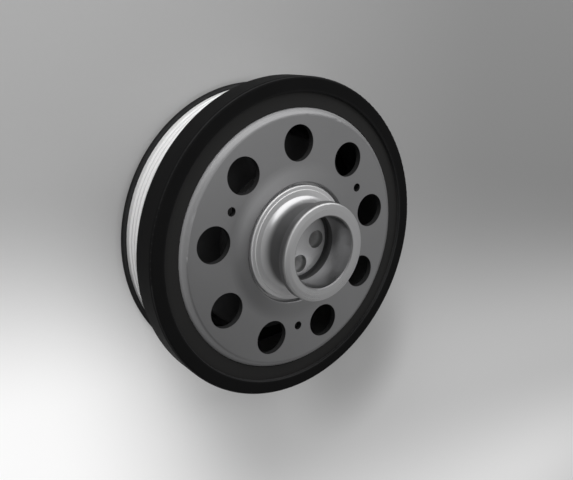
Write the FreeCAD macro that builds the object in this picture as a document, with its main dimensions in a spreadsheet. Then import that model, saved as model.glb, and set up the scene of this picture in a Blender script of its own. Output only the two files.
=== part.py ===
import FreeCAD, Part
import math
import os
import Sketcher

# A water pump pulley: a turned steel hub, a pressed web with lightening holes, a rubber ring, a heavy
# front ring, a belt ring with six grooves and a dished back plate. Millimetres. The axis is +Z, the
# nose points up, and the origin is the centre of the back plate's rear face. +X passes through the
# centre of one of the web's large holes.

doc = FreeCAD.newDocument("WaterPumpPulley")

# Driving sizes: name, value, meaning

SIZES = [
    ("track_radius", 85.3, "crests and lands of the belt track"),
    ("track_length", 27.8, "belt track between flange and front ring"),
    ("belt_ring_wall", 5.7, "wall of the belt ring at a crest"),
    ("joint_step", 2.9, "belt ring turned down where it enters the front ring"),
    ("joint_length", 4.0, "length of that turned end"),
    ("rim_height", 7.9, "front ring above the belt track"),
    ("rim_wall", 8.4, "front ring's wall outside the rubber"),
    ("rim_length", 15.8, "length of the front ring along the axis"),
    ("rim_round", 1.6, "round on the front ring's front outer edge"),
    ("rim_back_edge", 0.8, "chamfer on the front ring's back outer edge"),
    ("step_edge", 0.5, "chamfer on the edge of the front ring's inner step"),
    ("recess_depth", 7.0, "depth of the front ring's inner step"),
    ("groove_pitch", 3.56, "distance between belt grooves"),
    ("groove_count", 6, "number of belt grooves"),
    ("groove_depth", 2.7, "depth of a belt groove"),
    ("groove_angle", 40, "angle between a groove's two walls"),
    ("crest_flat", 0.75, "flat on top of a crest"),
    ("first_groove", 4.4, "flange face to the first groove's centre"),
    ("flange_height", 2.4, "rear flange above the belt track"),
    ("flange_thickness", 2.4, "rear flange along the axis"),
    ("flange_edge", 0.5, "chamfer on the flange's back edge"),
    ("back_land", 10.7, "width of the rear face round the set-in back"),
    ("back_recess", 3.0, "back wall set in from the rear face"),
    ("plate_wall", 6.0, "wall of the back plate and its drum"),
    ("drum_length", 16.0, "drum in front of the back wall"),
    ("drum_gap", 12.8, "channel between the drum and the web's skirt"),
    ("drum_round", 2.0, "round on the drum's front edge"),
    ("root_round", 3.0, "round at the foot of the drum"),
    ("sleeve_wall", 3.1, "rubber between the web's skirt and the belt ring"),
    ("sleeve_set_in", 2.0, "end of that rubber in from the skirt's end"),
    ("rubber_recess", 2.0, "rubber face below the front ring's face"),
    ("web_proud", 0.4, "web face in front of the front ring's face"),
    ("web_thickness", 3.5, "thickness of the pressed sheet"),
    ("web_bend", 4.2, "outer bend radius of web into skirt"),
    ("skirt_clearance", 5.0, "skirt's end in front of the back wall"),
    ("flare_width", 9.4, "width of the web's rise round the hub"),
    ("flare_rise", 1.2, "rise of the web at the hub"),
    ("flare_round", 38.0, "round between the flat web and its rise"),
    ("flare_edge", 0.7, "round on the web's inner edge"),
    ("seat_facing", 0.5, "sheet left over by the flat seat on the hub"),
    ("hole_radius", 10.25, "lightening hole"),
    ("hole_land", 4.6, "sheet between a lightening hole and the bend"),
    ("hole_count", 9, "number of lightening holes"),
    ("pin_radius", 2.55, "small hole"),
    ("pin_set_in", 5.45, "small holes' circle inside that of the large ones"),
    ("pin_count", 3, "number of small holes"),
    ("bore_radius", 20.5, "bore of the nose"),
    ("bore_edge", 0.6, "chamfer at the bore's mouth"),
    ("neck_wall", 3.9, "wall of the neck round the bore"),
    ("neck_back_round", 5.5, "radius of the sweep from shoulder to neck"),
    ("neck_foot", 3.5, "foot of that sweep outside the neck"),
    ("neck_front_round", 1.8, "round between neck and lip"),
    ("nose_length", 23.0, "lip face in front of the web face"),
    ("lip_reach", 3.9, "lip outside the neck"),
    ("lip_length", 4.6, "nose lip along the axis"),
    ("lip_round", 1.4, "round on the lip's front edge"),
    ("lip_land", 3.9, "flat land round the bore's mouth"),
    ("lip_fall", 0.3, "fall of the lip's face from that land to its edge"),
    ("shoulder_reach", 9.3, "shoulder outside the neck"),
    ("shoulder_proud", 1.6, "shoulder face in front of the web face"),
    ("shoulder_step", 0.4, "depth of the turned step round the shoulder"),
    ("shoulder_step_width", 2.3, "width of that step"),
    ("shoulder_edge", 0.5, "chamfer on the shoulder's edge"),
    ("shoulder_step_edge", 0.25, "chamfer on the step's edge"),
    ("web_gap", 1.5, "open gap between shoulder and web"),
    ("seat_width", 4.3, "hub seat that the web lies on"),
    ("spigot_step", 1.7, "spigot inside the shoulder's radius"),
    ("hub_back", 6.0, "hub's back face in front of the rear face"),
    ("floor_proud", 0.8, "bore floor in front of the web face"),
    ("floor_margin", 1.3, "raised floor disc inside the bore's radius"),
    ("floor_step", 0.8, "height of that disc"),
    ("relief_width", 5.4, "relief groove above the bore floor"),
    ("relief_depth", 1.2, "relief groove into the bore's wall"),
    ("bolt_radius", 5.3, "bolt hole"),
    ("bolt_circle", 12.4, "radius of the bolt circle"),
    ("bolt_count", 4, "number of bolt holes"),
    ("pilot_radius", 22.5, "pilot bore in the hub's back"),
    ("pilot_depth", 24.0, "depth of the pilot bore"),
    ("pilot_edge", 0.8, "chamfer at the pilot bore's mouth"),
    ("press_clearance", 0.0, "radial clearance of pressed and bonded fits"),
]

# Sizes that follow from the driving ones: first heights along the axis, then radii, then the groove

DERIVED = [
    ("track_back", "=flange_thickness"),
    ("rim_back", "=track_back + track_length"),
    ("joint_front", "=rim_back + joint_length"),
    ("rim_front", "=rim_back + rim_length"),
    ("recess_floor", "=rim_front - recess_depth"),
    ("back_front", "=back_recess + plate_wall"),
    ("drum_front", "=back_front + drum_length"),
    ("drum_back", "=drum_front - plate_wall"),
    ("web_front", "=rim_front + web_proud"),
    ("web_back", "=web_front - web_thickness"),
    ("skirt_end", "=back_front + skirt_clearance"),
    ("flare_front", "=web_front + flare_rise"),
    ("seat_front", "=web_back + flare_rise - seat_facing"),
    ("rubber_front", "=rim_front - rubber_recess"),
    ("rubber_back", "=skirt_end + sleeve_set_in"),
    ("shoulder_front", "=web_front + shoulder_proud"),
    ("shoulder_low", "=shoulder_front - shoulder_step"),
    ("nose_front", "=web_front + nose_length"),
    ("lip_back", "=nose_front - lip_length"),
    ("lip_edge", "=nose_front - lip_fall"),
    ("neck_back", "=shoulder_front + sqrt(neck_back_round ^ 2 - (neck_back_round - neck_foot) ^ 2)"),
    ("floor_front", "=web_front + floor_proud"),
    ("relief_back", "=floor_front - floor_step"),
    ("relief_front", "=floor_front + relief_width"),
    ("pilot_end", "=hub_back + pilot_depth"),
    ("track_bore", "=track_radius - belt_ring_wall"),
    ("joint_radius", "=track_radius - joint_step"),
    ("joint_bore", "=joint_radius + press_clearance"),
    ("rim_radius", "=track_radius + rim_height"),
    ("recess_radius", "=rim_radius - rim_wall"),
    ("flange_radius", "=track_radius + flange_height"),
    ("back_radius", "=flange_radius - back_land"),
    ("plate_radius", "=track_bore - press_clearance"),
    ("web_radius", "=track_bore - sleeve_wall"),
    ("skirt_inner", "=web_radius - web_thickness"),
    ("drum_radius", "=skirt_inner - drum_gap"),
    ("drum_inner", "=drum_radius - plate_wall"),
    ("rubber_inner", "=web_radius + press_clearance"),
    ("rubber_outer", "=recess_radius - press_clearance"),
    ("rubber_sleeve", "=track_bore - press_clearance"),
    ("hole_circle", "=web_radius - web_bend - hole_land - hole_radius"),
    ("pin_circle", "=hole_circle - pin_set_in"),
    ("neck_radius", "=bore_radius + neck_wall"),
    ("lip_radius", "=neck_radius + lip_reach"),
    ("lip_land_radius", "=bore_radius + lip_land"),
    ("foot_radius", "=neck_radius + neck_foot"),
    ("relief_radius", "=bore_radius + relief_depth"),
    ("floor_radius", "=bore_radius - floor_margin"),
    ("shoulder_radius", "=neck_radius + shoulder_reach"),
    ("shoulder_step_radius", "=shoulder_radius - shoulder_step_width"),
    ("spigot_radius", "=shoulder_radius - spigot_step"),
    ("spigot_bore", "=spigot_radius + press_clearance"),
    ("web_bore", "=shoulder_radius + web_gap"),
    ("seat_radius", "=web_bore + seat_width"),
    ("flare_radius", "=web_bore + flare_width"),
    ("groove_half_angle", "=groove_angle / 2"),
    ("groove_slope", "=tan(groove_half_angle * 1deg)"),
    ("groove_top", "=groove_pitch - crest_flat"),
    ("groove_root", "=groove_top - 2 * groove_depth * groove_slope"),
    ("groove_floor", "=track_radius - groove_depth"),
    ("groove_middle", "=track_back + first_groove"),
    ("root_low", "=groove_middle - groove_root / 2"),
    ("root_high", "=groove_middle + groove_root / 2"),
    ("cutter_reach", "=track_radius + groove_depth"),
    ("cutter_width", "=groove_top + 2 * groove_depth * groove_slope"),
    ("cutter_low", "=groove_middle - cutter_width / 2"),
    ("cutter_high", "=groove_middle + cutter_width / 2"),
    ("groove_span", "=groove_pitch * (groove_count - 1)"),
]

sheet = doc.addObject("Spreadsheet::Sheet", "Sizes")
for row, (name, value, meaning) in enumerate(SIZES, start=1):
    sheet.set(f"A{row}", name)
    sheet.set(f"B{row}", str(value))
    sheet.set(f"C{row}", meaning)
    sheet.setAlias(f"B{row}", name)
for row, (name, formula) in enumerate(DERIVED, start=len(SIZES) + 1):
    sheet.set(f"A{row}", name)
    sheet.set(f"B{row}", formula)
    sheet.setAlias(f"B{row}", name)
doc.recompute()


def size(name):
    """The present value of a size, or 0 for the axis and for the base plane."""
    return 0.0 if name in ("axis", "base") else float(getattr(sheet, name))


def bind(thing, prop, name):
    """Ties a property of a feature to a size."""
    thing.setExpression(prop, f"Sizes.{name}")


def origin_part(body, role):
    """One of the body's own origin planes or axes."""
    return next(part for part in body.Origin.OriginFeatures if part.Role == role)


def new_body(name):
    body = doc.addObject("PartDesign::Body", name)
    body.Label = name
    return body


def new_sketch(body, name, role="XZ_Plane"):
    sketch = body.newObject("Sketcher::SketchObject", name)
    sketch.AttachmentSupport = [(origin_part(body, role), "")]
    sketch.MapMode = "FlatFace"
    return sketch


def pin_coordinate(sketch, kind, place, name):
    """Sets one coordinate of a point to a size, or puts the point on an axis of the sketch."""
    if name in ("axis", "base"):
        line = {"axis": -2, "base": -1}[name]
        sketch.addConstraint(Sketcher.Constraint("PointOnObject", *place, line))
        return
    index = sketch.addConstraint(Sketcher.Constraint(kind, -1, 1, *place, size(name)))
    sketch.setExpression(f"Constraints[{index}]", f"Sizes.{name}")


def hollow_sweep(foot, top, radius):
    """An arc from foot up to top, hollow towards the outside and upright where it reaches top."""
    centre = top + FreeCAD.Vector(radius, 0, 0)
    middle = centre + ((foot + top) * 0.5 - centre).normalize() * radius
    return Part.Arc(top, middle, foot)


def turned_sketch(body, name, corners, sweeps=()):
    """A closed half section for turning. Each corner is a radius and a height, by size name.

    Sides that share a radius or a height are held upright or level. The side that starts at a
    corner named in sweeps, with the name of its radius, is an arc. An arc runs backwards, from
    its top to its foot."""
    sketch = new_sketch(body, name)
    sweeps = dict(sweeps)
    place = [FreeCAD.Vector(size(radius), size(height), 0) for radius, height in corners]
    sides, starts, ends = [], [], []
    for corner, start, end in zip(corners, place, place[1:] + place[:1]):
        if corner in sweeps:
            side = sketch.addGeometry(hollow_sweep(start, end, size(sweeps[corner])))
            bend = sketch.addConstraint(Sketcher.Constraint("Radius", side, size(sweeps[corner])))
            sketch.setExpression(f"Constraints[{bend}]", f"Sizes.{sweeps[corner]}")
        else:
            side = sketch.addGeometry(Part.LineSegment(start, end))
        sides.append(side)
        starts.append((side, 2 if corner in sweeps else 1))
        ends.append((side, 1 if corner in sweeps else 2))
    for end, following in zip(ends, starts[1:] + starts[:1]):
        sketch.addConstraint(Sketcher.Constraint("Coincident", *end, *following))
    for i, (radius, height) in enumerate(corners):
        before = corners[i - 1] if i else (None, None)
        if before[0] == radius:
            sketch.addConstraint(Sketcher.Constraint("Vertical", sides[i - 1]))
        else:
            pin_coordinate(sketch, "DistanceX", starts[i], radius)
        if before[1] == height:
            sketch.addConstraint(Sketcher.Constraint("Horizontal", sides[i - 1]))
        else:
            pin_coordinate(sketch, "DistanceY", starts[i], height)
    return sketch


def turn(body, kind, name, sketch):
    """Turns a half section about the axis, to add (Revolution) or to cut (Groove)."""
    feature = body.newObject(f"PartDesign::{kind}", name)
    feature.Profile = sketch
    feature.ReferenceAxis = (sketch, ["V_Axis"])
    feature.Angle = 360
    sketch.Visibility = False
    doc.recompute()
    return feature


def ring_edges(shape, rings):
    """Names of the full circles about the axis at each (radius, height) given by size names."""
    names = []
    for radius, height in rings:
        wanted = (size(radius), size(height))
        found = [
            f"Edge{i}"
            for i, edge in enumerate(shape.Edges, start=1)
            if edge.Curve.TypeId == "Part::GeomCircle"
            and abs(edge.Curve.Radius - wanted[0]) < 1e-4
            and abs(edge.Curve.Center.z - wanted[1]) < 1e-4
            and math.hypot(edge.Curve.Center.x, edge.Curve.Center.y) < 1e-4
        ]
        if not found:
            raise ValueError(f"no ring edge at {radius}, {height}")
        names += found
    return names


def soften(body, kind, name, rings, amount):
    """Fillets or chamfers the circles about the axis at the given radii and heights."""
    base = body.Tip
    feature = body.newObject(f"PartDesign::{kind}", name)
    feature.Base = (base, ring_edges(base.Shape, rings))
    bind(feature, "Radius" if kind == "Fillet" else "Size", amount)
    doc.recompute()
    return feature


def circle_of_holes(body, name, radius, circle, count, top, start_angle=0.0):
    """Cuts a ring of equal holes down through the body, from the height of top."""
    before = body.Shape.Volume
    sketch = new_sketch(body, f"{name}_sketch", "XY_Plane")
    sketch.setExpression("AttachmentOffset.Base.z", f"Sizes.{top}")
    turned = math.radians(start_angle)
    centre = FreeCAD.Vector(math.cos(turned), math.sin(turned), 0) * size(circle)
    hole = sketch.addGeometry(Part.Circle(centre, FreeCAD.Vector(0, 0, 1), size(radius)))
    spoke = sketch.addGeometry(Part.LineSegment(FreeCAD.Vector(0, 0, 0), centre), True)
    sketch.addConstraint(Sketcher.Constraint("Coincident", spoke, 1, -1, 1))
    sketch.addConstraint(Sketcher.Constraint("Coincident", spoke, 2, hole, 3))
    reach = sketch.addConstraint(Sketcher.Constraint("Distance", spoke, size(circle)))
    sketch.setExpression(f"Constraints[{reach}]", f"Sizes.{circle}")
    sketch.addConstraint(Sketcher.Constraint("Angle", -1, 1, spoke, 1, turned))
    width = sketch.addConstraint(Sketcher.Constraint("Radius", hole, size(radius)))
    sketch.setExpression(f"Constraints[{width}]", f"Sizes.{radius}")
    pocket = body.newObject("PartDesign::Pocket", name)
    pocket.Profile = sketch
    pocket.Type = "ThroughAll"
    sketch.Visibility = False
    doc.recompute()
    pattern = body.newObject("PartDesign::PolarPattern", f"{name}_ring")
    pattern.Originals = [pocket]
    pattern.Axis = (origin_part(body, "Z_Axis"), [""])
    pattern.Angle = 360
    bind(pattern, "Occurrences", count)
    body.Tip = pattern
    doc.recompute()
    if body.Shape.Volume >= before:
        raise ValueError(f"{name} cut nothing")


# Hub: a turned steel nose and shoulder, with a spigot pressed into the back plate

def make_hub():
    hub = new_body("hub")
    outside = [
        ("axis", "hub_back"), ("spigot_radius", "hub_back"), ("spigot_radius", "drum_front"),
        ("seat_radius", "drum_front"), ("seat_radius", "seat_front"),
        ("shoulder_radius", "seat_front"), ("shoulder_radius", "shoulder_low"),
        ("shoulder_step_radius", "shoulder_low"), ("shoulder_step_radius", "shoulder_front"),
        ("foot_radius", "shoulder_front"), ("neck_radius", "neck_back"), ("neck_radius", "lip_back"),
        ("lip_radius", "lip_back"), ("lip_radius", "lip_edge"), ("lip_land_radius", "nose_front"),
        ("axis", "nose_front"),
    ]
    sweep = [(("foot_radius", "shoulder_front"), "neck_back_round")]
    turn(hub, "Revolution", "hub_outside", turned_sketch(hub, "hub_outside_sketch", outside, sweep))
    bore = [
        ("axis", "floor_front"), ("floor_radius", "floor_front"), ("floor_radius", "relief_back"),
        ("relief_radius", "relief_back"), ("relief_radius", "relief_front"),
        ("bore_radius", "relief_front"), ("bore_radius", "nose_front"), ("axis", "nose_front"),
    ]
    turn(hub, "Groove", "nose_bore", turned_sketch(hub, "nose_bore_sketch", bore))
    pilot = [
        ("axis", "hub_back"), ("pilot_radius", "hub_back"), ("pilot_radius", "pilot_end"),
        ("axis", "pilot_end"),
    ]
    turn(hub, "Groove", "pilot_bore", turned_sketch(hub, "pilot_bore_sketch", pilot))
    soften(hub, "Fillet", "neck_front_fillet", [("neck_radius", "lip_back")], "neck_front_round")
    soften(hub, "Fillet", "lip_fillet", [("lip_radius", "lip_edge")], "lip_round")
    soften(hub, "Chamfer", "shoulder_chamfer", [("shoulder_radius", "shoulder_low")], "shoulder_edge")
    step_ring = [("shoulder_step_radius", "shoulder_front")]
    soften(hub, "Chamfer", "shoulder_step_chamfer", step_ring, "shoulder_step_edge")
    soften(hub, "Chamfer", "bore_chamfer", [("bore_radius", "nose_front")], "bore_edge")
    soften(hub, "Chamfer", "pilot_chamfer", [("pilot_radius", "hub_back")], "pilot_edge")
    circle_of_holes(hub, "bolt_hole", "bolt_radius", "bolt_circle", "bolt_count", "floor_front")
    return hub


# Web: one pressed sheet with a skirt, flared to the hub, with large and small holes

def make_web():
    web = new_body("web")
    section = [
        ("web_radius", "web_front"), ("flare_radius", "web_front"), ("web_bore", "flare_front"),
        ("web_bore", "seat_front"), ("seat_radius", "seat_front"), ("flare_radius", "web_back"),
        ("skirt_inner", "web_back"), ("skirt_inner", "skirt_end"), ("web_radius", "skirt_end"),
    ]
    turn(web, "Revolution", "web_sheet", turned_sketch(web, "web_sketch", section))
    soften(web, "Fillet", "flare_fillet", [("flare_radius", "web_front")], "flare_round")
    soften(web, "Fillet", "outer_bend", [("web_radius", "web_front")], "web_bend")
    inner_bend = soften(web, "Fillet", "inner_bend", [("skirt_inner", "web_back")], "web_bend")
    inner_bend.setExpression("Radius", "Sizes.web_bend - Sizes.web_thickness")
    soften(web, "Fillet", "inner_edge", [("web_bore", "flare_front")], "flare_edge")
    circle_of_holes(web, "lightening_hole", "hole_radius", "hole_circle", "hole_count", "flare_front")
    between = 1.5 * 360 / size("hole_count")
    circle_of_holes(web, "small_hole", "pin_radius", "pin_circle", "pin_count", "flare_front", between)
    return web


# Rubber ring: a bead in the front ring's recess, and a sleeve round the web's skirt

def make_rubber_ring():
    rubber = new_body("rubber_ring")
    section = [
        ("rubber_inner", "rubber_back"), ("rubber_sleeve", "rubber_back"),
        ("rubber_sleeve", "recess_floor"), ("rubber_outer", "recess_floor"),
        ("rubber_outer", "rubber_front"), ("rubber_inner", "rubber_front"),
    ]
    turn(rubber, "Revolution", "rubber_section", turned_sketch(rubber, "rubber_sketch", section))
    return rubber


# Front ring: the heavy ring that damps the pulley, stepped inside for the rubber and the belt ring

def make_front_ring():
    ring = new_body("front_ring")
    section = [
        ("joint_bore", "rim_back"), ("rim_radius", "rim_back"), ("rim_radius", "rim_front"),
        ("recess_radius", "rim_front"), ("recess_radius", "recess_floor"),
        ("track_bore", "recess_floor"), ("track_bore", "joint_front"), ("joint_bore", "joint_front"),
    ]
    turn(ring, "Revolution", "front_ring_section", turned_sketch(ring, "front_ring_sketch", section))
    soften(ring, "Fillet", "front_fillet", [("rim_radius", "rim_front")], "rim_round")
    soften(ring, "Chamfer", "back_chamfer", [("rim_radius", "rim_back")], "rim_back_edge")
    soften(ring, "Chamfer", "step_chamfer", [("recess_radius", "rim_front")], "step_edge")
    return ring


# Belt ring: a turned ring with a row of equal grooves between two plain lands

def make_belt_ring():
    ring = new_body("belt_ring")
    section = [
        ("track_bore", "track_back"), ("track_radius", "track_back"), ("track_radius", "rim_back"),
        ("joint_radius", "rim_back"), ("joint_radius", "joint_front"), ("track_bore", "joint_front"),
    ]
    turn(ring, "Revolution", "belt_ring_section", turned_sketch(ring, "belt_ring_sketch", section))
    before = ring.Shape.Volume
    cutter = [
        ("groove_floor", "root_low"), ("cutter_reach", "cutter_low"),
        ("cutter_reach", "cutter_high"), ("groove_floor", "root_high"),
    ]
    groove = turn(ring, "Groove", "belt_groove", turned_sketch(ring, "groove_sketch", cutter))
    track = ring.newObject("PartDesign::LinearPattern", "belt_track")
    track.Originals = [groove]
    track.Direction = (origin_part(ring, "Z_Axis"), [""])
    bind(track, "Length", "groove_span")
    bind(track, "Occurrences", "groove_count")
    ring.Tip = track
    doc.recompute()
    if ring.Shape.Volume >= before:
        raise ValueError("the belt grooves cut nothing")
    return ring


# Back plate: one dished plate with the rear flange, the back wall and the drum behind the web

def make_back_plate():
    plate = new_body("back_plate")
    section = [
        ("back_radius", "base"), ("flange_radius", "base"), ("flange_radius", "track_back"),
        ("plate_radius", "track_back"), ("plate_radius", "back_front"),
        ("drum_radius", "back_front"), ("drum_radius", "drum_front"),
        ("spigot_bore", "drum_front"), ("spigot_bore", "drum_back"), ("drum_inner", "drum_back"),
        ("drum_inner", "back_recess"), ("back_radius", "back_recess"),
    ]
    turn(plate, "Revolution", "plate_section", turned_sketch(plate, "plate_sketch", section))
    soften(plate, "Chamfer", "flange_chamfer", [("flange_radius", "base")], "flange_edge")
    soften(plate, "Fillet", "drum_fillet", [("drum_radius", "drum_front")], "drum_round")
    soften(plate, "Fillet", "root_fillet", [("drum_radius", "back_front")], "root_round")
    return plate


pieces = [
    make_hub(),
    make_web(),
    make_rubber_ring(),
    make_front_ring(),
    make_belt_ring(),
    make_back_plate(),
]
doc.recompute()

# Every feature has to be sound before anything is written

for thing in doc.Objects:
    if "Invalid" in thing.State or "Error" in thing.State:
        raise RuntimeError(f"{thing.Name} failed: {thing.State}")
for piece in pieces:
    shape = piece.Shape
    if shape.isNull() or not shape.isValid() or len(shape.Solids) != 1:
        raise RuntimeError(f"{piece.Label} is not one sound solid")

os.makedirs("parts", exist_ok=True)
for piece in pieces:
    piece.Shape.exportStep(os.path.join("parts", f"{piece.Label}.step"))
    print(piece.Label, "volume", round(piece.Shape.Volume / 1000, 1), "cm3,", piece.Shape.BoundBox)
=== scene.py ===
# %% [markdown]
# A water pump pulley: a turned steel hub, a pressed web with lightening holes, a rubber ring, a
# heavy black front ring, a grooved belt ring and a dished back plate. The construction is already
# there as a packed frame of six nodes, in metres, lying on its rear face with the nose up. This
# lesson dresses it: it sets up a camera, a plain studio and one finish for each surface, and it
# never moves or reshapes a piece.

# %% Load the frame
import math

import bpy
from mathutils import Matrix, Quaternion, Vector


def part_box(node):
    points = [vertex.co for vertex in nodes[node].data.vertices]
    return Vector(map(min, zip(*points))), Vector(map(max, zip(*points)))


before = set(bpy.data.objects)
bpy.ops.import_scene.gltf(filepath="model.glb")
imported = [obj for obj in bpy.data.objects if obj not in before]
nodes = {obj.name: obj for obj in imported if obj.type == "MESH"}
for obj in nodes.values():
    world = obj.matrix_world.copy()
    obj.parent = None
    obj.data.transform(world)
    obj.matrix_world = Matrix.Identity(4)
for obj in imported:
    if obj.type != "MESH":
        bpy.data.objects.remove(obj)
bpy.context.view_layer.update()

print("nodes:", sorted(nodes))

# %% [markdown]
# Finishes are placed by the object's own sizes. They could be typed in as plain numbers, but then
# a finish would slip off its edge as soon as a size changes. A node's lowest and highest corners
# give its outside radius and its front face, because every piece is turned about the Z axis.

# %% Sizes read from the frame
MM = 0.001


def outer_radius(node):
    low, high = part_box(node)
    return (high[0] - low[0]) / 2


def front_of(node):
    low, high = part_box(node)
    return high[2]


rim_radius = outer_radius("front_ring")
rim_front = front_of("front_ring")
web_radius = outer_radius("web")
track_radius = outer_radius("belt_ring")
flange_radius = outer_radius("back_plate")
nose_front = front_of("hub")
rubber_front = front_of("rubber_ring")
WEB_PROUD = 0.4 * MM
web_front = rim_front + WEB_PROUD
print("rim radius", round(rim_radius / MM, 2), "web face at", round(web_front / MM, 2))

# %% [markdown]
# The camera. The photograph looks at the nose from its left and a little above, and the pulley
# fills the middle half of the picture. A camera could be turned by three angles, but those say
# little to a reader. So it is placed by the point that it aims at, its distance and two angles, and
# then rolled about its own line of sight, because the pulley lies on its rear face here and the
# picture shows it stood up on its rim. The lens is worked out from the picture's width.

# %% Camera
IMAGE_WIDTH = 573
FOCAL_LENGTH_IN_PIXELS = 646.5
SENSOR_WIDTH = 36.0
NEAREST_SEEN = 10 * MM
AIM = Vector((3.467, 8.752, 46.4)) * MM
CAMERA_DISTANCE = 365.03 * MM
CAMERA_AZIMUTH = 62.434
CAMERA_ELEVATION = 48.585
CAMERA_ROLL = 111.358


def direction(azimuth, elevation):
    """Unit vector to a place in the sky. Azimuth is counted from +X towards +Y, in degrees."""
    a, e = math.radians(azimuth), math.radians(elevation)
    return Vector((math.cos(a) * math.cos(e), math.sin(a) * math.cos(e), math.sin(e)))


towards_camera = direction(CAMERA_AZIMUTH, CAMERA_ELEVATION)
camera_data = bpy.data.cameras.new("camera")
camera_data.sensor_width = SENSOR_WIDTH
camera_data.lens = FOCAL_LENGTH_IN_PIXELS / IMAGE_WIDTH * SENSOR_WIDTH
camera_data.clip_start = NEAREST_SEEN
camera = bpy.data.objects.new("camera", camera_data)
camera.rotation_mode = "QUATERNION"
camera.location = AIM + towards_camera * CAMERA_DISTANCE
roll = Quaternion((0, 0, 1), math.radians(CAMERA_ROLL))
camera.rotation_quaternion = towards_camera.to_track_quat("Z", "Y") @ roll
bpy.context.scene.collection.objects.link(camera)
bpy.context.scene.camera = camera
camera_place = [round(v / MM, 1) for v in camera.location]
print("camera at mm", camera_place, "lens", round(camera_data.lens, 2))

# %% [markdown]
# The picture's tones. The photograph runs to a clean white on the belt track and on the floor.
# A filmic view would bend those whites down to grey, so the plain Standard view is used.

# %% Picture settings
scene = bpy.context.scene
scene.view_settings.view_transform = "Standard"
print("view transform:", scene.view_settings.view_transform)

# %% [markdown]
# Shader maths. A finish is mostly arithmetic on places and noises, and a chain of Math nodes is
# hard to read. So a socket is wrapped in a small class whose operators add the Math nodes, and a
# finish reads like a formula. Every other node comes from one method: its settings are set first,
# because some of them change which sockets there are, and then its inputs are set or linked.

# %% Wire: a socket that can be calculated with
class Wire:
    """One output socket of a finish, with the operators that the finishes below use."""

    def __init__(self, finish, socket):
        self.finish, self.socket = finish, socket

    def maths(self, operation, *values):
        return self.finish.node("Math", {"operation": operation}, dict(enumerate(values)))

    def __add__(self, other):
        return self.maths("ADD", self, other)

    def __sub__(self, other):
        return self.maths("SUBTRACT", self, other)

    def __mul__(self, other):
        return self.maths("MULTIPLY", self, other)

    def __rsub__(self, other):
        return self.maths("SUBTRACT", other, self)

    def __truediv__(self, other):
        return self.maths("DIVIDE", self, other)

    def __pow__(self, other):
        return self.maths("POWER", self, other)

    __radd__ = __add__
    __rmul__ = __mul__

    def root(self):
        return self.maths("SQRT", self)

    def ramp(self, start, end, low=0.0, high=1.0):
        """Runs smoothly from low to high while this value goes from start to end."""
        settings = {"interpolation_type": "SMOOTHSTEP"}
        inputs = {"Value": self, "From Min": start, "From Max": end, "To Min": low, "To Max": high}
        return self.finish.node("MapRange", settings, inputs)

    def fade(self, start, end):
        """1 up to start, falling smoothly to 0 at end."""
        return self.ramp(start, end, 1.0, 0.0)

    def within(self, low, high, soft):
        """1 while this value is between low and high, and 0 a soft step outside them."""
        return self.ramp(low - soft, low) * self.fade(high, high + soft)


print("a wire can:", sorted(name for name in vars(Wire) if not name.startswith("__")))

# %% [markdown]
# A finish is a material whose Principled shader is filled in step by step. The class gives each
# finish the same places to work with: x, y and z of the object's own coordinates, which are the
# construction's, and r, the distance from the axis. They need no unwrapping, and they stay put when
# the object is turned. Unwrapped images could carry the marks too, but they would blur up close.

# %% Finish: a material and its nodes
class Finish:
    """A material with a Principled shader, filled in by the functions below."""

    def __init__(self, name):
        self.material = bpy.data.materials.new(name)
        self.material.use_nodes = True
        self.tree = self.material.node_tree
        self.shader = self.tree.nodes["Principled BSDF"]
        place = self.node("TexCoord", {}, {}, "Object")
        self.place = place
        self.x, self.y, self.z = (self.node("SeparateXYZ", {}, {0: place}, axis) for axis in "XYZ")
        self.r = (self.x * self.x + self.y * self.y).root()

    def node(self, kind, settings, inputs, output=0):
        """Adds a shader node, sets it up, feeds its inputs and returns the chosen output."""
        made = self.tree.nodes.new(f"ShaderNode{kind}")
        for name, value in settings.items():
            setattr(made, name, value)
        for key, value in inputs.items():
            self.feed(made.inputs[key], value)
        return Wire(self, made.outputs[output])

    def feed(self, socket, value):
        if isinstance(value, Wire):
            self.tree.links.new(value.socket, socket)
        else:
            socket.default_value = value

    def set(self, **values):
        """Sets or links sockets of the main shader; an underscore stands for a space."""
        for name, value in values.items():
            self.feed(self.shader.inputs[name.replace("_", " ")], value)

    def noise(self, place, scale, detail=2.0, rough=0.5):
        """Cloudy noise, 0 to 1, whose lumps are about 1 / scale across."""
        inputs = {"Vector": place, "Scale": scale, "Detail": detail, "Roughness": rough}
        return self.node("TexNoise", {"noise_dimensions": "3D"}, inputs)

    def streaks(self, along, scale, detail=2.0, rough=0.6):
        """Noise that changes along one value only, for marks that run round the axis."""
        inputs = {"W": along, "Scale": scale, "Detail": detail, "Roughness": rough}
        return self.node("TexNoise", {"noise_dimensions": "1D"}, inputs)

    def spokes(self, scale, detail):
        """Noise that changes round the axis only, for marks that run outwards like spokes."""
        round_place = self.node("CombineXYZ", {}, {0: self.x / self.r, 1: self.y / self.r})
        return self.noise(round_place, scale, detail)

    def ring(self, radius, height, reach):
        """1 on the circle at this radius and height, falling to 0 at the given reach from it."""
        away = ((self.r - radius) ** 2 + (self.z - height) ** 2).root()
        return away.fade(0.0, reach)

    def mix(self, factor, low, high):
        """Mixes two colours."""
        inputs = {"Factor": factor, 6: low, 7: high}
        return self.node("Mix", {"data_type": "RGBA"}, inputs, 2)

    def bump(self, height, distance, strength):
        inputs = {"Height": height, "Distance": distance, "Strength": strength}
        self.set(Normal=self.node("Bump", {}, inputs))


def grey(value):
    return (value, value, value, 1.0)


BLACK, WHITE = grey(0.0), grey(1.0)
print("black", BLACK, "white", WHITE)

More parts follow.
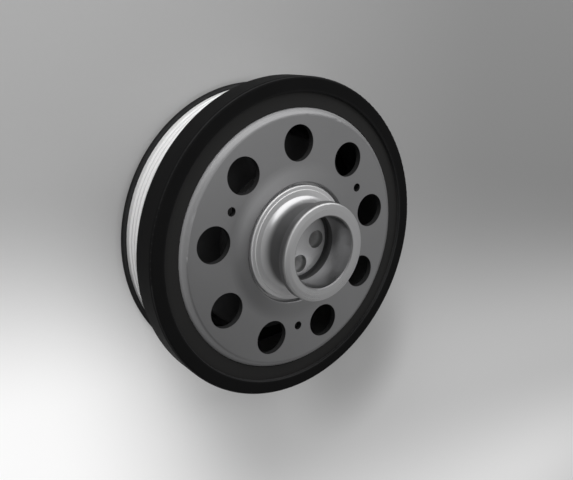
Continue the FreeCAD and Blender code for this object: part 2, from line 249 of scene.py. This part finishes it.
# %% [markdown]
# The studio. A turned metal part shows little of its own colour: it shows the room. So the room is
# what makes or breaks this picture. The highlights on the neck's sweep and on the web's bent edge
# both point to one very wide, soft light beyond the picture's top edge, which is +X here: wider
# than it is high, because the two highlights lie far apart round the axis and close together in
# height. Several small lamps could light both, but each would show as a spot of its own, so it is
# one oval softbox. The belt track lies deep under the front ring, where the softbox only grazes it,
# and still it is the brightest place of all. So a small lamp stands low on that side and shines in
# under the ring. It is hidden from reflections, because the photograph's metal shows no second
# highlight: it only whitens the pale track.

# %% Soft lights
KEY_AZIMUTH, KEY_ELEVATION = -16.0, 38.0
TRACK_AZIMUTH, TRACK_ELEVATION = 26.0, 16.0
LAMP_DISTANCE = 1.2


def softbox(name, azimuth, elevation, width, height, radiance):
    """An oval lamp of even brightness that faces the pulley and isn't seen by the camera."""
    light = bpy.data.lights.new(name, "AREA")
    light.shape = "ELLIPSE"
    light.size, light.size_y = width, height
    light.energy = math.pi * (math.pi * width * height / 4) * radiance
    lamp = bpy.data.objects.new(name, light)
    away = direction(azimuth, elevation)
    lamp.location = away * LAMP_DISTANCE
    lamp.rotation_mode = "QUATERNION"
    lamp.rotation_quaternion = away.to_track_quat("Z", "Y")
    lamp.visible_camera = False
    scene.collection.objects.link(lamp)
    return lamp


key_light = softbox("key_light", KEY_AZIMUTH, KEY_ELEVATION, width=2.5, height=1.35, radiance=1.0)
track_light = softbox(
    "track_light", TRACK_AZIMUTH, TRACK_ELEVATION, width=0.5, height=0.5, radiance=12.0
)
track_light.visible_glossy = False
for lamp in (key_light, track_light):
    print(lamp.name, "power", round(lamp.data.energy, 2), "in reflections:", lamp.visible_glossy)

# %% [markdown]
# The rest of the room is the world: a slow grey gradient, brightest around the softbox. A panorama
# image would show its own windows in the metal, and a few smooth steps are all that the photograph
# needs. Two places are told apart. A dimmer patch is what the flat web and the slope round the hub
# mirror on the shaded side, and a brighter one, nearly overhead, is what the slope mirrors towards
# the softbox. Each step goes by the cosine of the angle between the look and one place.

# %% Room gradient
FAR_SIDE, KEY_SIDE = 0.21, 0.33
KEY_SIDE_ELEVATION, KEY_SIDE_COSINES = 50.0, (-0.1, 0.6)
PATCH_AZIMUTH, PATCH_ELEVATION, PATCH_COSINES = 206.0, 58.0, (0.93, 1.0)
PATCH_DEPTH = 0.75
CEILING_AZIMUTH, CEILING_ELEVATION, CEILING_COSINES = -60.0, 78.0, (0.86, 0.99)
CEILING_GAIN = 2.0

world = bpy.data.worlds.new("studio")
world.use_nodes = True
scene.world = world
room = world.node_tree
background = room.nodes["Background"]
view_out = room.nodes.new("ShaderNodeTexCoord").outputs["Generated"]


def room_ramp(azimuth, elevation, cosines, low, high):
    """Goes from low to high as the look turns towards one place in the room."""
    towards = room.nodes.new("ShaderNodeVectorMath")
    towards.operation = "DOT_PRODUCT"
    towards.inputs[1].default_value = direction(azimuth, elevation)
    ramp = room.nodes.new("ShaderNodeMapRange")
    ramp.interpolation_type = "SMOOTHSTEP"
    limits = {"From Min": cosines[0], "From Max": cosines[1], "To Min": low, "To Max": high}
    for socket, value in limits.items():
        ramp.inputs[socket].default_value = value
    room.links.new(view_out, towards.inputs[0])
    room.links.new(towards.outputs["Value"], ramp.inputs["Value"])
    return ramp.outputs["Result"]


brightness = room_ramp(KEY_AZIMUTH, KEY_SIDE_ELEVATION, KEY_SIDE_COSINES, FAR_SIDE, KEY_SIDE)
patch = room_ramp(PATCH_AZIMUTH, PATCH_ELEVATION, PATCH_COSINES, 1.0, 1.0 - PATCH_DEPTH)
ceiling = room_ramp(CEILING_AZIMUTH, CEILING_ELEVATION, CEILING_COSINES, 1.0, CEILING_GAIN)
for factor in (patch, ceiling):
    product = room.nodes.new("ShaderNodeMath")
    product.operation = "MULTIPLY"
    room.links.new(brightness, product.inputs[0])
    room.links.new(factor, product.inputs[1])
    brightness = product.outputs["Value"]
room.links.new(brightness, background.inputs["Strength"])
background.inputs["Color"].default_value = WHITE
print("room brightness from", FAR_SIDE, "to", KEY_SIDE)

# %% [markdown]
# The floor. A plain pale sheet. In the photograph the sheet runs from a light grey
# at the top of the picture to nearly white at the bottom. More lamps would do that too, but they
# would also wash out the metal. So the sheet has a slow grey gradient round the object, and its
# light side gives off a little light of its own, only as far as the camera and the reflections see
# it, and the object's soft shadow stays. Farther out the sheet is one even pale grey. On the floor
# the picture's up is nearly +X and its left is +Y, because the camera is rolled. A soft darker
# patch beside the pulley stands for the shadow where the photograph's pulley touches the ground.
# Each pair of metres below says where a change begins and where it ends.

# %% Floor sheet
FLOOR_SIZE = 6.0
bpy.ops.mesh.primitive_plane_add(size=FLOOR_SIZE, location=(0, 0, 0))
floor = bpy.context.object
floor.name = "floor"
print("floor", FLOOR_SIZE, "m square")

# %% Floor paper
PICTURE_TILT = 0.187
GRADIENT_ENDS = (0.45, 1.1)
PAPER_TONE, TOP_SHADE, LEFT_RELIEF = 0.7, 0.36, 0.18
SHADE_UP, SHADE_LEFT = (-0.16, 0.06), (-0.25, 0.15)
CONTACT_X, CONTACT_Y, CONTACT_TONE = -0.122, -0.092, 0.6
CONTACT_REACH = (0.015, 0.075)
GLOW_RIGHT, GLOW_LEFT_GAIN, GLOW_BOTTOM = 0.08, 0.45, 0.25
GLOW_UP, GLOW_LEFT, GLOW_BOTTOM_UP = (-0.11, 0.02), (-0.02, 0.14), (-0.3, -0.15)


def make_floor_paper():
    paper = Finish("studio_floor")
    near = paper.r.fade(*GRADIENT_ENDS)
    up, left = paper.x - PICTURE_TILT * paper.y, paper.y
    grain = paper.noise(paper.place, 400.0, 3.0)
    shade = (TOP_SHADE - LEFT_RELIEF * left.ramp(*SHADE_LEFT)) * up.ramp(*SHADE_UP) * near
    from_contact = ((paper.x - CONTACT_X) ** 2 + (paper.y - CONTACT_Y) ** 2).root()
    tone = (PAPER_TONE - shade) * from_contact.ramp(*CONTACT_REACH, CONTACT_TONE, 1.0)
    seen = 0.0
    for ray in ("Is Camera Ray", "Is Glossy Ray", "Is Transmission Ray"):
        seen = paper.node("LightPath", {}, {}, ray) + seen
    glow = up.fade(*GLOW_UP) * (GLOW_RIGHT + GLOW_LEFT_GAIN * left.ramp(*GLOW_LEFT))
    glow = (glow + up.ramp(*GLOW_BOTTOM_UP, GLOW_BOTTOM, 0.0)) * near * seen
    paper.set(Base_Color=paper.mix(tone + 0.01 * grain, BLACK, WHITE))
    paper.set(Roughness=0.8, Specular_IOR_Level=0.2, Emission_Strength=1.0)
    paper.set(Emission_Color=paper.mix(glow, BLACK, WHITE))
    return paper


floor_paper = make_floor_paper()
floor.data.materials.append(floor_paper.material)
print("floor paper nodes:", len(floor_paper.tree.nodes))

# %% [markdown]
# Hub steel. The hub is turned from bar, so every face carries fine rings left by the tool, and its
# own bright grey. Rings on a flat face change with the radius, and rings on a straight side change
# with the height. Two noises, one for each, would need a seam where they meet. A noise on one value
# that mixes both gives rings on either, and also round the sweeps between them. The neck and the
# lip's side are rougher from the cut; they and the bore are painted darker, as painted shade, and
# so is the edge just inside the bore's mouth, which is rougher too. The shoulder's face and the
# bore's floor are finely blasted, so they are paler and softer. The undercut over the floor is
# rougher and painted nearly black, as painted shade. The bolt holes are painted near white deep
# inside, as painted light, and dark over their first turns, as painted shade. Behind the web the
# steel is painted darker, as painted shade. Corners are a little brighter: partly wear where they
# rub, partly painted highlight.

# %% Places on the hub
RING_SLOPE = 1.31
EDGE = 0.3 * MM
FLOOR_OF_BORE = web_front + 0.8 * MM
SHOULDER_FACE = web_front + 1.6 * MM
BOLT_HOLE_REACH = 18.2 * MM
DRILLED_HEIGHTS = (31 * MM, FLOOR_OF_BORE - 0.1 * MM)
FLOOR_DISC_RADIUS = 20.0 * MM
FACED_HEIGHTS = (FLOOR_OF_BORE, FLOOR_OF_BORE + 0.1 * MM)
UNDERCUT_RADII = (20.3 * MM, 21.9 * MM)
UNDERCUT_HEIGHTS = (web_front - 0.3 * MM, FLOOR_OF_BORE + 5.3 * MM)
BORE_REACH = 20.9 * MM
BORE_START = (FLOOR_OF_BORE + 5.3 * MM, FLOOR_OF_BORE + 5.5 * MM)
NECK_RADII = (23 * MM, 24 * MM)
NECK_FOOT = (SHOULDER_FACE + 0.4 * MM, SHOULDER_FACE + 5 * MM)
NECK_END = (nose_front - 0.9 * MM, nose_front - 0.2 * MM)
LIP_START = (nose_front - 5.5 * MM, nose_front - 4 * MM)
SHOULDER_RADII = (27.4 * MM, 28.0 * MM)
BEHIND_WEB_RADII, BEHIND_WEB_HEIGHTS = (34 * MM, 35 * MM), (35 * MM, 38 * MM)
# Corners painted a little brighter: partly wear, partly painted highlight.
HUB_CORNERS = [
    (33.6 * MM, web_front + 1.1 * MM),
    (31.3 * MM, web_front + 1.5 * MM),
    (27.6 * MM, nose_front),
]


def hub_places(steel):
    """Masks, by name, for the parts of the hub that are finished differently, and for its painted
    shade and painted highlight.
    """
    r, z = steel.r, steel.z
    bolt_holes = r.fade(BOLT_HOLE_REACH, BOLT_HOLE_REACH + EDGE)
    floor_disc = r.fade(FLOOR_DISC_RADIUS, FLOOR_DISC_RADIUS + EDGE)
    neck = r.ramp(*NECK_RADII) * z.ramp(*NECK_FOOT) * z.fade(*NECK_END)
    rubbed_and_lit = 0.0
    for radius, height in HUB_CORNERS:
        rubbed_and_lit = steel.ring(radius, height, 0.7 * MM) + rubbed_and_lit
    return {
        "drilled": bolt_holes * z.within(*DRILLED_HEIGHTS, 0.05 * MM),
        "faced": floor_disc * z.within(*FACED_HEIGHTS, 0.05 * MM),
        "undercut": r.within(*UNDERCUT_RADII, 0.1 * MM) * z.within(*UNDERCUT_HEIGHTS, 0.1 * MM),
        "bore": r.fade(BORE_REACH, BORE_REACH + EDGE) * z.ramp(*BORE_START),
        "mouth": steel.ring(BORE_REACH, nose_front - EDGE, 0.9 * MM),
        "neck": neck * (1.0 - 0.15 * z.ramp(*LIP_START)),
        "shoulder": r.ramp(*SHOULDER_RADII) * z.fade(SHOULDER_FACE, SHOULDER_FACE + EDGE),
        "behind_web": z.fade(*BEHIND_WEB_HEIGHTS) * r.ramp(*BEHIND_WEB_RADII),
        "rubbed_and_lit": rubbed_and_lit,
    }


print("undercut radii in mm:", [round(radius / MM, 1) for radius in UNDERCUT_RADII])

# %% [markdown]
# What each place does to the steel is kept in three small tables, because the same three questions
# come back for each: how much darker it is painted, which is painted shade for all but the
# shoulder's face, how much rougher, and how much milkier than a mirror. A chain of terms in one
# formula would say the same, but a table is easier to read and to change.

# %% Hub steel
# Painted shade on the neck, the bore, the bore's mouth and behind the web; the shoulder's face is
# only a little darker in tone.
HUB_DARKER_AND_SHADED = {"neck": 0.72, "bore": 0.33, "shoulder": 0.08, "mouth": 0.42, "behind_web": 0.5}
HUB_ROUGHER = {
    "undercut": 0.25, "drilled": 0.2, "neck": 0.25,
    "shoulder": 0.12, "mouth": 0.25, "faced": 0.15,
}
HUB_MILKIER = {"drilled": 0.6, "shoulder": 0.5, "faced": 0.35}
HUB_WHITE = (1.0, 1.0, 1.01, 1.0)
FIRST_TURNS = (FLOOR_OF_BORE - 5 * MM, FLOOR_OF_BORE - 2 * MM)
RUBBED_AND_LIT_GREY, UNDERCUT_SHADE_GREY = grey(0.86), grey(0.08)
DRILLED_LIT_GREY, FIRST_TURNS_SHADE_GREY = grey(0.97), grey(0.35)


def make_hub_steel():
    steel = Finish("hub_steel")
    along = steel.r + steel.z * RING_SLOPE
    fine = steel.streaks(along, 2400.0, 5.0, 0.7)
    broad = steel.streaks(along, 330.0)
    cloud = steel.noise(steel.place, 70.0, 3.0)
    at = hub_places(steel)
    tone = 0.66 + 0.08 * fine + 0.05 * broad + 0.03 * cloud
    for place, share in HUB_DARKER_AND_SHADED.items():
        tone = tone * (1.0 - share * at[place])
    # Painted light and shade in the bolt holes: near white deep inside, dark over their first
    # turns.
    bolt_hole_light_and_shade = steel.mix(steel.z.ramp(*FIRST_TURNS), DRILLED_LIT_GREY, FIRST_TURNS_SHADE_GREY)
    colour = steel.mix(tone, BLACK, HUB_WHITE)
    # Painted highlight, with some wear, on the corners.
    colour = steel.mix(at["rubbed_and_lit"] * 0.6, colour, RUBBED_AND_LIT_GREY)
    # Painted shade: the undercut over the floor is painted nearly black.
    colour = steel.mix(at["undercut"] * 0.85, colour, UNDERCUT_SHADE_GREY)
    colour = steel.mix(at["drilled"], colour, bolt_hole_light_and_shade)
    rough = 0.23 + 0.07 * fine + 0.05 * cloud
    for place, share in HUB_ROUGHER.items():
        rough = rough + share * at[place]
    metallic = 1.0
    for place, share in HUB_MILKIER.items():
        metallic = metallic - share * at[place]
    steel.set(Base_Color=colour, Metallic=metallic, Roughness=rough)
    steel.bump(fine + 0.5 * broad, 0.01 * MM, 0.5)
    return steel


hub_steel = make_hub_steel()
print("hub steel nodes:", len(hub_steel.tree.nodes))

# %% [markdown]
# Web steel. The web is pressed from sheet and plated to an even satin grey, darker than the hub. A
# sheet has no rings: it has a very fine even grain, a slow cloudiness of the plating, and faint
# marks where it was drawn over the die's edge, which run outwards across the bend. The more the
# sheet was stretched on the bend, the milkier its plating is, so towards the edge it spreads the
# light like a pale coat rather than a mirror. Where the bend begins, a soft darker line is painted
# on, as painted shade that takes down the light on the bend's start. The walls of the holes are
# rough and painted nearly black: partly their raw sheared edge, mostly painted shade inside the
# holes. The holes could get a slot of their own for that, but the mesh is the construction's, so a
# mask by radius and height does it.

# %% Web steel
BEND_RADII = (web_radius - 4.4 * MM, web_radius + 0.2 * MM)
BEND_START_SHADE_RADII = (web_radius - 3.4 * MM, web_radius - 1.9 * MM)
PUNCHED_SHADE_RADII = (45.0 * MM, 69.5 * MM)
PUNCHED_SHADE_HEIGHTS = (web_front - 3.5 * MM, web_front - 0.2 * MM)
WEB_WHITE = (1.0, 1.0, 1.015, 1.0)


def make_web_steel():
    steel = Finish("web_steel")
    grain = steel.noise(steel.place, 1500.0, 3.0, 0.6)
    cloud = steel.noise(steel.place, 38.0, 3.0)
    bend = steel.r.ramp(*BEND_RADII)
    drawn = steel.spokes(90.0, 3.0) * bend
    # Painted shade: a soft darker line where the bend begins.
    bend_start_shade = steel.r.within(*BEND_START_SHADE_RADII, 1.0 * MM)
    # Painted shade inside the holes, with their raw sheared edge: the walls are painted nearly
    # black.
    punched_and_shaded = steel.r.within(*PUNCHED_SHADE_RADII, 0.5 * MM)
    punched_and_shaded = punched_and_shaded * steel.z.within(*PUNCHED_SHADE_HEIGHTS, 0.1 * MM)
    tone = 0.385 + 0.03 * grain + 0.03 * cloud + 0.04 * drawn
    tone = tone * (1.0 - 0.16 * bend) * (1.0 - 0.13 * bend_start_shade) * (1.0 - 0.93 * punched_and_shaded)
    rough = 0.25 + 0.06 * grain + 0.05 * cloud + 0.15 * bend + 0.25 * punched_and_shaded
    steel.set(Base_Color=steel.mix(tone, BLACK, WEB_WHITE), Roughness=rough)
    steel.set(Metallic=1.0 - 0.8 * bend - 0.7 * punched_and_shaded)
    steel.bump(grain, 0.008 * MM, 0.5)
    return steel


web_steel = make_web_steel()
print("web steel nodes:", len(web_steel.tree.nodes))

# %% [markdown]
# Rubber. The damping ring is vulcanised between web and front ring, so it is matt, dark and a
# little warmer than the paint. Its face shows the mould's fine grain, faint flow rings, and some
# dust that has settled on it. One plain dark colour would do from afar, but up close it is the
# grain that tells rubber from paint.

# %% Ring rubber
RUBBER_TONE = 0.0115
RUBBER_WHITE = (1.02, 1.0, 0.98, 1.0)


def make_ring_rubber():
    rubber = Finish("ring_rubber")
    grain = rubber.noise(rubber.place, 1800.0, 3.0, 0.7)
    flow = rubber.streaks(rubber.r, 520.0)
    dust = rubber.noise(rubber.place, 45.0, 6.0, 0.7).ramp(0.45, 0.75)
    tone = RUBBER_TONE + 0.002 * grain + 0.0015 * flow + 0.002 * dust
    rubber.set(Base_Color=rubber.mix(tone, BLACK, RUBBER_WHITE))
    rubber.set(Roughness=0.62 + 0.1 * grain, Specular_IOR_Level=0.3)
    rubber.bump(grain + 0.4 * flow, 0.02 * MM, 0.5)
    return rubber


ring_rubber = make_ring_rubber()
print("ring rubber nodes:", len(ring_rubber.tree.nodes))

# %% [markdown]
# Black coat. The front ring and the back plate are coated black after turning. The coat is a thin
# satin film with a slight orange peel. Circles at corners paint it a little lighter: partly wear,
# as the coat is thinnest on corners and on the flange's narrow face, which the belt brushes, so a
# little grey shows through there, and partly painted highlight along the front ring's edges and
# painted light on the flange's face in the front ring's shadow. Wear could be painted by hand, but
# a circle at a corner's radius and height finds the same places and follows the sizes. Dust greys
# the coat too, only on the drum inside, which the web's holes show. Both pieces get the same
# function, with other strengths.

# %% Black coat
COAT_WHITE = (1.0, 1.0, 1.02, 1.0)


def make_black_coat(name, tone, corners, dusty_radii=None, dust=0.0):
    coat = Finish(name)
    peel = coat.noise(coat.place, 620.0)
    cloud = coat.noise(coat.place, 55.0, 5.0, 0.65)
    turned = coat.streaks(coat.r + coat.z * RING_SLOPE, 1500.0, 3.0)
    thin_and_lit = 0.0
    # Painted highlight and painted light, with some wear: the corner circles lighten the coat.
    for radius, height, reach in corners:
        thin_and_lit = coat.ring(radius, height, reach) + thin_and_lit
    depth = tone * (0.8 + 0.4 * cloud) + thin_and_lit * (0.02 + 0.02 * cloud)
    if dusty_radii:
        depth = depth + coat.r.ramp(*dusty_radii, dust, 0.0) * (0.6 + 0.8 * cloud)
    coat.set(Base_Color=coat.mix(depth, BLACK, COAT_WHITE))
    coat.set(Roughness=0.52 + 0.12 * cloud + 0.05 * turned, Specular_IOR_Level=0.04)
    coat.bump(peel + 0.5 * turned, 0.012 * MM, 0.4)
    return coat


# %% Black pieces
RING_INNER = rim_radius - 8.4 * MM
FLANGE_FRONT = 2.4 * MM
DRUM_RADII = (62 * MM, 66 * MM)
# The ring's corners: painted highlight along its edges, with some wear.
ring_corners = [
    (RING_INNER, rim_front, 0.6 * MM),
    (RING_INNER, rubber_front, 2.6 * MM),
    (rim_radius - 0.3 * MM, rim_front - 0.3 * MM, 0.6 * MM),
]
# The flange's corners: wear, and painted light on its face in the front ring's shadow.
flange_corners = [
    (flange_radius, 0.0, 0.6 * MM),
    (flange_radius - 1.2 * MM, FLANGE_FRONT, 2.0 * MM),
]
black_iron = make_black_coat("black_iron", 0.0075, ring_corners)
black_plate = make_black_coat("black_plate", 0.009, flange_corners, DRUM_RADII, 0.055)
thin_and_lit_radii = [round(radius / MM, 1) for radius, height, reach in ring_corners + flange_corners]
print("coat rubbed thin at mm:", thin_and_lit_radii)

# %% [markdown]
# Belt track. The track is turned bright and is not coated, because paint would wear off on the
# belt. Its near-white colour is a painted sheen: the flanks of the grooves look almost white where
# light falls on them. A mirror metal would show the dark ring above it instead, so the sheen is
# nearly all spread light. The crests between the ribs and the smooth lands are painted greyer, as a
# painted reflection of darker surroundings, and the narrow floors of the grooves are painted dark,
# as painted shade.

# %% Bare steel
GROOVE_FLOOR = track_radius - 2.7 * MM
GROOVE_SHADE_RADII = (GROOVE_FLOOR + 0.1 * MM, GROOVE_FLOOR + 0.9 * MM)
CREST_RADII = (track_radius - 0.3 * MM, track_radius - 0.05 * MM)


def make_bare_steel():
    steel = Finish("bare_steel")
    fine = steel.streaks(steel.z + steel.r * 0.7, 3000.0, 4.0, 0.7)
    cloud = steel.noise(steel.place, 60.0, 3.0)
    deep = steel.r.fade(*GROOVE_SHADE_RADII)
    crest = steel.r.ramp(*CREST_RADII)
    # Painted sheen near white, painted reflection greyer on the crests, painted shade in the groove
    # floors.
    tone = 0.95 + 0.04 * fine + 0.02 * cloud - 0.75 * deep - 0.25 * crest
    steel.set(Base_Color=steel.mix(tone, BLACK, WHITE), Metallic=0.05)
    steel.set(Roughness=0.36 + 0.08 * fine + 0.15 * deep)
    steel.bump(fine, 0.01 * MM, 0.5)
    return steel


bare_steel = make_bare_steel()
print("groove floors at mm:", round(GROOVE_FLOOR / MM, 1))

# %% [markdown]
# Each node of the frame brings one material slot. A finish goes into that slot, and the mesh and
# the object stay as they were packed.

# %% Put the finishes on
for node, finish in {
    "hub": hub_steel,
    "web": web_steel,
    "rubber_ring": ring_rubber,
    "front_ring": black_iron,
    "belt_ring": bare_steel,
    "back_plate": black_plate,
}.items():
    nodes[node].material_slots[0].material = finish.material
    print(node, "->", finish.material.name)

# %% [markdown] The end.
